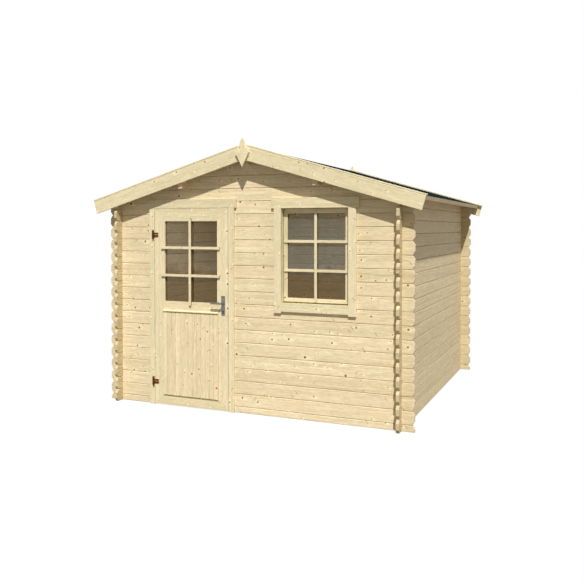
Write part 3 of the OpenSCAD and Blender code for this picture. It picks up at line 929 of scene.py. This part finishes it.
def build_door_frame():
    for node, side, low, high, outer, stop in jambs("door"):
        opening = stop + side * STOP_W
        web = opening + side * FRAME_T
        casing = (outer, low.y, low.z), (opening, WALL_FRONT, high.z), Z
        lining = (web, WALL_FRONT, low.z), (opening, high.y, high.z), Z
        inner_casing = (outer, WALL_INNER, low.z), (web, high.y, high.z), Z
        rebate = (opening, WALL_FRONT + STOP_DEPTH, low.z), (stop, high.y, high.z), Z
        frame_boards(node, 83 + side, casing, lining, inner_casing, rebate)

    low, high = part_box("door_head")
    head = low.z + STOP_W
    left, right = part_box("door_jamb_left")[1].x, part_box("door_jamb_right")[0].x
    web = STOP_W + FRAME_T
    lining = (left - web, low.y, head), (right + web, WALL_INNER, CUT_Z), X
    inner_casing = (low.x, WALL_INNER, head), (high.x, high.y, high.z), X
    rebate = (left, WALL_FRONT + STOP_DEPTH, low.z), (right, high.y, head), X
    frame_boards("door_head", 89, lining, inner_casing, rebate)

    for node, material, seed, shade in (
        ("door_lintel_board", trim, 97, LINTEL_SHADE),
        ("door_threshold", roof_wood, 101, 0),
    ):
        job = Joinery(node + "_timber", seed, shade)
        job.slab(*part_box(node), X)
        job.finish("root", material, "trim", node)


def shade_at(x, reach):
    """Shade for a board's edge at x, as far as reach from it."""
    return lambda spot: EDGE_SHADE if abs(spot.x - x) < reach else 0


def build_window_frame():
    sash_low, sash_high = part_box("window_sash")
    head, foot = sash_high.z, sash_low.z
    inner_face = WALL_INNER + WIN_INNER_T
    for node, side, low, high, outer, opening in jambs("window"):
        web = opening + side * FRAME_T
        edge = shade_at(opening, 2 * HAIR)
        casing = (outer, low.y, low.z), (opening, WALL_FRONT, high.z), Z, ARRIS, edge
        lining = (web, WALL_FRONT, foot - FRAME_T), (opening, high.y, high.z), Z
        inner_casing = (outer, WALL_INNER, low.z), (web, inner_face, high.z), Z
        frame_boards(node, 107 + side, casing, lining, inner_casing)

    low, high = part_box("window_head")
    left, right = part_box("window_jamb_left")[0].x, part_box("window_jamb_right")[1].x
    web = sash_low.x - FRAME_T, sash_high.x + FRAME_T
    lining = (web[0], WALL_FRONT, head), (web[1], high.y, CUT_Z), X
    casing = low, (high.x, WALL_FRONT, high.z), X
    inner_casing = (left, WALL_INNER, CUT_Z), (right, inner_face, head + WIN_INNER_W), X
    frame_boards("window_head", 109, lining, casing, inner_casing)

    low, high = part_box("window_sill")
    web = foot - FRAME_T
    lining = (low.x, WALL_FRONT, web), (high.x, high.y, foot), X
    casing = low, (high.x, WALL_FRONT, high.z), X
    inner_casing = (low.x, WALL_INNER, foot - WIN_INNER_W), (high.x, inner_face, web), X
    frame_boards("window_sill", 113, lining, casing, inner_casing)


# -------- sash and glazing bars


def ring_of_boards(job, low, high, hole_low, hole_high, near, far):
    """Two stiles and two rails round a hole, in one plane, between near and far in Y."""
    edge = shade_at(low.x, 2 * ARRIS)
    for start, end in ((low.x, hole_low.x), (hole_high.x, high.x)):
        job.slab((start, near, low.z), (end, far, high.z), Z, darker=edge)
    for start, end in ((low.z, hole_low.z), (hole_high.z, high.z)):
        job.slab((hole_low.x, near, start), (hole_high.x, far, end), X)


def bar_grid(low, high, near, far, over, width):
    """Slabs of an upright bar and two bars across, between near and far in Y, which reach over
    the opening low..high at each end."""
    middle = (low.x + high.x) / 2
    half = width / 2
    yield (middle - half, near, low.z - over), (middle + half, far, high.z + over), Z
    for share in BAR_SHARES:
        z = low.z + (high.z - low.z) * share
        for start, end in ((low.x - over, middle - half), (middle + half, high.x + over)):
            yield (start, near, z - half), (end, far, z + half), X


def glazing_bars(word, seed, low, high, holder, proud, over):
    """Wooden caps in front of the pane on narrower brown cores, a brown grid behind it and a brown lining
    behind its edge; the brown of the cores and the grid is painted shade for their sides in shade. The
    grids are left to be finished."""
    cap, core = Joinery(word + "_glazing_bars", seed), Joinery(word + "_bar_cores", seed + 2)
    face, back = holder[0].y, holder[1].y
    pane_front, pane_back = (corner.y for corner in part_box(word + "_glass"))
    front = face - proud
    thin = BAR_W - 2 * BAR_EDGE
    layers = (
        (cap, front, front + BAR_CAP, over, BAR_W, 1.5 * MM),
        (core, front + BAR_CAP, face, over - BAR_EDGE, thin, 0.5 * MM),
        (core, face, pane_front, 0, thin, 0.3 * MM),
        (core, pane_back, back - BAR_CAP, 0, thin, 0.3 * MM),
        (core, back - BAR_CAP, back, 0, BAR_W, 1 * MM),
    )
    for job, near, far, longer, width, arris in layers:
        for slab in bar_grid(low, high, near, far, longer, width):
            job.slab(*slab, arris)
    lining_back = back - 1 * MM
    for x in (low.x, high.x - LINING_T):
        core.slab((x, pane_back, low.z), (x + LINING_T, lining_back, high.z), Z, 0.2 * MM)
    for z in (low.z, high.z - LINING_T):
        core.slab((low.x, pane_back, z), (high.x, lining_back, z + LINING_T), X, 0.2 * MM)
    return cap, core


def build_sash():
    """The sash, its bars, and a brown seal in the gap round its front, whose strip at the foot is painted
    shade under the rail.
    """
    low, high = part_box("window_sash")
    front_low = low + Vector((SASH_GAP, 0, SASH_FOOT))
    front_high = high - Vector((SASH_GAP, 0, SASH_GAP))
    hole_low = front_low + Vector((SASH_W, 0, SASH_RAIL_H))
    hole_high = front_high - Vector((SASH_W, 0, SASH_HEAD_H))
    lip = high.y - SASH_LIP_T
    job = Joinery("window_sash_members", 127)
    ring_of_boards(job, front_low, front_high, hole_low, hole_high, low.y, lip)
    ring_of_boards(job, low, high, hole_low, hole_high, lip, high.y)
    job.finish("root", trim, "trim", "window_sash")

    holder = (low, high)
    cap, core = glazing_bars("window", 131, hole_low, hole_high, holder, SASH_BAR_PROUD, SASH_BAR_OVER)
    seal_and_shade_front, seal_and_shade_back = low.y + 1 * MM, lip - 3 * MM
    for x in (low.x, high.x - SEAL_T):
        upright = (x, seal_and_shade_front, front_low.z), (x + SEAL_T, seal_and_shade_back, front_high.z)
        core.slab(*upright, Z, 0.4 * MM)
    # The strip at the foot hangs under the rail: painted shade where the rail's shadow falls.
    foot = (low.x, seal_and_shade_front + 3 * MM, front_low.z - SHADE_STRIP_DROP), (high.x, seal_and_shade_back, front_low.z)
    core.slab(*foot, X, 0.6 * MM)
    cap.finish("root", trim, "trim")
    core.finish("root", seal_and_shade_brown, "trim")


# -------- door


def build_leaf():
    low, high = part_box("door_leaf")
    panel_low, panel_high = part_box("door_panel")
    bite = Vector((PANE_BITE, 0, PANE_BITE))
    glass_low, glass_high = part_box("door_glass")
    glass_low, glass_high = glass_low + bite, glass_high - bite
    left, right = low.x + STILE_W, high.x - STILE_W
    foot, middle = panel_low.z, panel_high.z

    job = Joinery("door_stiles_and_rails", 137)
    for outer, inner, pane_x in ((low.x, left, glass_low.x), (high.x, right, glass_high.x)):
        stile = [(outer, low.z), (inner, foot), (inner, glass_low.z)]
        stile += [(pane_x, glass_low.z), (pane_x, glass_high.z), (outer, high.z)]
        job.plate(stile, low.y, high.y, Z, X, JOINT_ARRIS)
    top, base = (high.z, glass_low.x, glass_high.x, glass_high.z), (low.z, left, right, foot)
    for z, start, end, inner_z in (top, base):
        rail = [(low.x, z), (start, inner_z), (end, inner_z), (high.x, z)]
        job.plate(rail, low.y, high.y, X, Z, JOINT_ARRIS, lambda spot: RAIL_SHADE)
    job.slab((left, low.y, middle), (right, high.y, glass_low.z), X, JOINT_ARRIS)
    for x in (left, right - PANEL_LIP):
        job.slab((x, panel_high.y, foot), (x + PANEL_LIP, high.y, middle), Z)
    for z in (foot, middle - PANEL_LIP):
        start, end = (left + PANEL_LIP, panel_high.y, z), (right - PANEL_LIP, high.y, z + PANEL_LIP)
        job.slab(start, end, X)
    job.finish("door", leaf_wood, "trim", "door_leaf")

    cap, core = glazing_bars("door", 139, glass_low, glass_high, (low, high), BAR_PROUD, BAR_OVER)
    cap.finish("door", leaf_wood, "trim")
    core.finish("door", seal_and_shade_brown, "trim")


def build_panel():
    """Upright boards, with a tongue that closes the gaps between them."""
    low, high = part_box("door_panel")
    job = Joinery("door_panel_boards", 149, PANEL_SHADE)
    width = (high.x - low.x) / PANEL_BOARDS
    for k in range(PANEL_BOARDS):
        start = low.x + k * width + PANEL_GAP
        end = start + width - 2 * PANEL_GAP
        job.slab((start, low.y, low.z), (end, high.y, high.z), Z, PANEL_ARRIS)
    tongue, edge = (low.y + high.y) / 2, 4 * MM
    start, end = (low.x + edge, tongue, low.z + edge), (high.x - edge, tongue + 6 * MM, high.z - edge)
    job.slab(start, end, Z)
    job.finish("door", logs, "trim", "door_panel")


def build_drip_strip():
    low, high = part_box("door_drip_strip")
    section = [(high.y, low.z), (low.y, low.z), (low.y, (low.z + high.z) / 2), (high.y, high.z)]
    job = Joinery("drip_strip_moulding", 151)
    strip = prism([Vector((low.x, y, z)) for y, z in section], X * (high.x - low.x), 1.2 * MM)
    job.add(strip, X, Y)
    job.finish("door", leaf_wood, "trim", "door_drip_strip")


# -------- ironwork


def show_metal(shape, name, body, material, slot, *nodes):
    """Shows a metal piece, smooth but for its sharp edges."""
    mesh = bpy.data.meshes.new(name)
    turn_outward(shape)
    shape.to_mesh(mesh)
    shape.free()
    mesh.shade_smooth()
    mesh.set_sharp_from_angle(angle=radians(35))
    show(mesh, name, body, material, slot, *nodes)


def turned(shape, profile, origin, axis, segments=28):
    """Surface of revolution, added to shape. The profile is (way along the axis, radius)."""
    turn = axis.to_track_quat("Z", "Y").to_matrix()
    angles = [2 * pi * k / segments for k in range(segments)]
    rings = []
    for way, radius in profile:
        circle = [Vector((radius * cos(a), radius * sin(a), way)) for a in angles]
        rings.append([Vector(origin) + turn @ point for point in circle])
    lofted(shape, rings)


def rounded_box(shape, first, second, radius):
    """Box with all its edges rounded, added to shape."""
    low, high = in_order(first, second)
    part = bmesh.new()
    bmesh.ops.create_cube(part, size=1)
    for v in part.verts:
        v.co = [low[i] + (v.co[i] + 0.5) * (high[i] - low[i]) for i in range(3)]
    ease(part, radius, segments=3, profile=0.5)
    part.verts.index_update()
    made = [shape.verts.new(v.co) for v in part.verts]
    for face in part.faces:
        shape.faces.new([made[v.index] for v in face.verts])
    part.free()


def screw_head(shape, spot, axis, radius):
    """Raised countersunk head with a round recess."""
    crown = [(-1, 1), (0.2, 1), (0.9, 0.75), (1.1, 0.35), (0.3, 0.3)]
    turned(shape, [(way * MM, radius * part) for way, part in crown], spot, axis, 16)


def barrel(radius, height):
    """Profile of a round barrel with eased ends."""
    ease_w = 1.2 * MM
    inner = radius - ease_w
    return [(0, inner), (ease_w, radius), (height - ease_w, radius), (height, inner)]


def build_hinge(z, iron, straps, ribs):
    """One hinge with its foot at z: two fixed knuckles on a leaf at the casing, and a ribbed strap
    that turns between them."""
    fixed_low, fixed_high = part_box("frame_hinges")
    strap_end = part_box("door_hinge_straps")[1].x
    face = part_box("door_leaf")[0].y
    radius = (fixed_high.x - fixed_low.x) / 2
    x, y = fixed_low.x + radius, fixed_low.y + radius
    knuckle = HINGE_H / 4
    top = z + HINGE_H
    for start in (z, top - knuckle):
        turned(iron, barrel(radius, knuckle), (x, y, start), Z)
        end = (x + 6 * MM, face, start + knuckle)
        rounded_box(iron, (x - 6 * MM, y, start), end, 0.8 * MM)
    leaf_low = (x - radius - 10 * MM, face - 2.5 * MM, z + 3 * MM)
    rounded_box(iron, leaf_low, (x, face - 0.2 * MM, top - 1 * MM), 0.8 * MM)
    dome = [(-1 * MM, 6 * MM), (0.6 * MM, 5.6 * MM), (2 * MM, 3.6 * MM), (2.5 * MM, 1.2 * MM)]
    turned(iron, dome, (x, y, z), -Z)
    turned(iron, dome, (x, y, top), Z)

    low, high = z + knuckle + 0.5 * MM, top - knuckle - 0.5 * MM
    turned(ribs, barrel(radius, high - low), (x, y, low), Z)
    back = face - 0.5 * MM
    strap_low = (x, back - 3.5 * MM, low + 0.5 * MM)
    rounded_box(straps, strap_low, (strap_end, back, high - 0.5 * MM), 0.9 * MM)
    rib_face = back - 6 * MM
    for middle, half in ((low + 9 * MM, 8 * MM), (high - 8 * MM, 6.5 * MM)):
        end = (strap_end + 4 * MM, back - 2 * MM, middle + half)
        rounded_box(ribs, (x, rib_face, middle - half), end, 2 * MM)
        for way in (22 * MM, 42 * MM):
            screw_head(ribs, (x + way, rib_face, middle), -Y, 3 * MM)


def build_hinges():
    low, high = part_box("frame_hinges")
    iron, straps, ribs = bmesh.new(), bmesh.new(), bmesh.new()
    for z in (low.z, high.z - HINGE_H):
        build_hinge(z, iron, straps, ribs)
    show_metal(iron, "hinge_knuckles", "root", hinge_iron, "hinge_iron", "frame_hinges")
    show_metal(straps, "hinge_plates", "door", copper, "hinge_copper", "door_hinge_straps")
    show_metal(ribs, "hinge_strap_ribs", "door", hinge_iron, "hinge_iron")


def rounded_outline(low_x, low_z, high_x, high_z, radius):
    """Outline of an upright plate in X and Z with rounded corners."""
    steps = 6
    left, right, foot, head = low_x + radius, high_x - radius, low_z + radius, high_z - radius
    points = []
    for quarter, (x, z) in enumerate(((right, head), (left, head), (left, foot), (right, foot))):
        for k in range(steps + 1):
            a = pi / 2 * (quarter + k / steps)
            points.append((x + radius * cos(a), z + radius * sin(a)))
    return points


def build_backplate(shape, low, high, face, outer, way):
    """Plate with rounded corners and an arched edge, from the leaf's face to outer."""
    rings = []
    for y, inset in ((face, 0), (outer - way * 1.1 * MM, 0), (outer - way * 0.3 * MM, 0.8), (outer, 2.2)):
        inset *= MM
        corners = (low.x + inset, low.z + inset, high.x - inset, high.z - inset)
        rings.append([(x, y, z) for x, z in rounded_outline(*corners, 7 * MM)])
    lofted(shape, rings)


def build_handle():
    """A screwed plate, a lever on its rose and a lock cylinder on each face of the leaf."""
    low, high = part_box("handle_plates")
    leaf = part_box("door_leaf")
    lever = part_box("door_lever")
    x = (low.x + high.x) / 2
    lock_z = LEVER_Z - 72 * MM
    rose = [(0, 13.5 * MM), (1.5 * MM, 13.5 * MM), (2.6 * MM, 12.4 * MM), (2.9 * MM, 9.4 * MM)]
    cylinder = [(0, 8.4 * MM), (1.2 * MM, 8.4 * MM), (1.8 * MM, 7.6 * MM)]
    plates, dark, bars = bmesh.new(), bmesh.new(), bmesh.new()
    front, rear = (-1, leaf[0].y, low.y, lever[0].y), (1, leaf[1].y, high.y, lever[1].y)
    for way, face, outer, end in (front, rear):
        build_backplate(plates, low, high, face, outer, way)
        for z in (low.z + 12 * MM, high.z - 12 * MM):
            screw_head(plates, (x, outer, z), Y * way, 3.6 * MM)
        turned(plates, rose, (x, outer, LEVER_Z), Y * way)
        turned(dark, cylinder, (x, outer, lock_z), Y * way)
        body = (x - 4.8 * MM, outer, lock_z - 24 * MM)
        rounded_box(dark, body, (x + 4.8 * MM, outer + way * 1.5 * MM, lock_z - 4 * MM), 0.7 * MM)
        slot = (x - 1 * MM, outer + way * 1.2 * MM, lock_z - 4 * MM)
        slot_end = (x + 1 * MM, outer + way * 2.3 * MM, lock_z + 4.6 * MM)
        rounded_box(plates, slot, slot_end, 0.3 * MM)
        lofted(bars, lever_rings(x, outer, way, lever[0].x, end))
    show_metal(plates, "handle_backplates", "door", zinc, "handle_metal", "handle_plates")
    show_metal(dark, "lock_cylinders", "door", dark_metal, "hinge_iron")
    show_metal(bars, "lever_handles", "lever", zinc, "handle_metal", "door_lever")


def lever_rings(x, plate, way, tip, end):
    """Sections of a lever that runs out from the plate, round a bend and along the door."""
    neck, bend, thin_grip, tall_grip = 9 * MM, 14 * MM, 6 * MM, 10 * MM
    bar_y = end - way * thin_grip
    # Each stop: X and Y, turn, half the thickness, half the height
    stops = [(x, plate - way * 2 * MM, 0, neck, neck)]
    stops.append((x, plate + way * 14 * MM, 0, neck * 0.92, neck * 0.92))
    for k in range(7):
        a = radians(15 * k)
        thin, tall = (neck * 0.9 + (half - neck * 0.9) * k / 6 for half in (thin_grip, tall_grip))
        stops.append((x - bend * (1 - cos(a)), bar_y - way * bend * (1 - sin(a)), a, thin, tall))
    start = x - bend
    grip = ((0.35, 5.6, 9.6), (0.7, 5.4, 9.4), (0.93, 5.6, 9.6), (0.985, 4.6, 8.4), (1, 2.8, 6.2))
    for share, thin, tall in grip:
        stops.append((start + (tip - start) * share, bar_y, pi / 2, thin * MM, tall * MM))
    return [lever_ring(way, *stop) for stop in stops]


def lever_ring(way, x, y, turn, thin, tall):
    """Section of the lever, a little fuller than an ellipse."""
    points = []
    for k in range(24):
        a = 2 * pi * k / 24
        side = copysign(abs(cos(a)) ** 0.8, cos(a)) * thin
        up = copysign(abs(sin(a)) ** 0.8, sin(a)) * tall
        points.append((x + side * cos(turn), y + way * side * sin(turn), LEVER_Z + up))
    return points


# -------- the house

place_camera()
light_scene()
stage_plane("floor", reach_x=60, reach_y=60, height=-0.5 * MM, material=floor_material())
indoors = {"reach_x": HALF_W - LOG_T / 2, "reach_y": HALF_D - LOG_T / 2}
stage_plane("indoor_ground", **indoors, height=0.5 * MM, material=indoor_material())

logs = wood("spruce_logs", srgb(243, 225, 188), srgb(212, 182, 132))
# The side walls' own darker, yellower copy of the log wood: painted shade for the weaker, bluer light
# that falls on them.
shaded_side_logs = wood("spruce_side_walls_painted_shade", srgb(244, 224, 184), srgb(210, 178, 125))
fine = {"contrast": 0.9, "girth": 0.75}
trim = wood("spruce_trim", srgb(238, 224, 187), srgb(212, 190, 142), cell=0.11, **fine)
leaf_wood = wood("spruce_door", srgb(240, 224, 186), srgb(214, 190, 140), cell=0.12, **fine)
# A darker, browner copy of the spruce: painted shade for the roof boards and the fascia under the eaves;
# the threshold is made of it too.
roof_wood = wood("spruce_roof_boards", srgb(228, 205, 160), srgb(200, 164, 112))
# Brown for the bar cores, the grid behind the pane and the sash's seals: painted shade on the bars' sides
# and grid, and the brown of a seal in the gaps.
seal_and_shade_brown = wood("seals_and_painted_shade", srgb(112, 92, 60), srgb(92, 70, 40), knots=0)
felt_material = felt()
zinc = metal("galvanised_steel", srgb(110, 109, 106), srgb(140, 137, 131), 0.85, 0.42, (40, 40, 900))
dark_metal = metal("dark_steel", srgb(40, 40, 42), srgb(70, 70, 72), 0.7, 0.4, (300, 300, 300))
hinge_iron = metal("brown_iron", srgb(64, 30, 4), srgb(104, 58, 18), 0, 0.6, (220, 220, 220), 0.12)
copper = metal("copper_plate", srgb(158, 104, 54), srgb(196, 142, 88), 0.2, 0.5, (60, 60, 600), 0.3)

build_walls()
build_purlins()
for word, side in SIDES:
    build_roof_boards(word, side, 165 + 2 * side)
build_gable_trim("front", 173)
build_gable_trim("rear", 181)
build_felt()
build_door_frame()
build_window_frame()
build_sash()
build_leaf()
build_panel()
build_drip_strip()
build_hinges()
build_handle()
pane = glass()
for node in ("window_glass", "door_glass"):
    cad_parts[node].material_slots[0].material = pane

bpy.context.scene.view_settings.view_transform = "Standard"
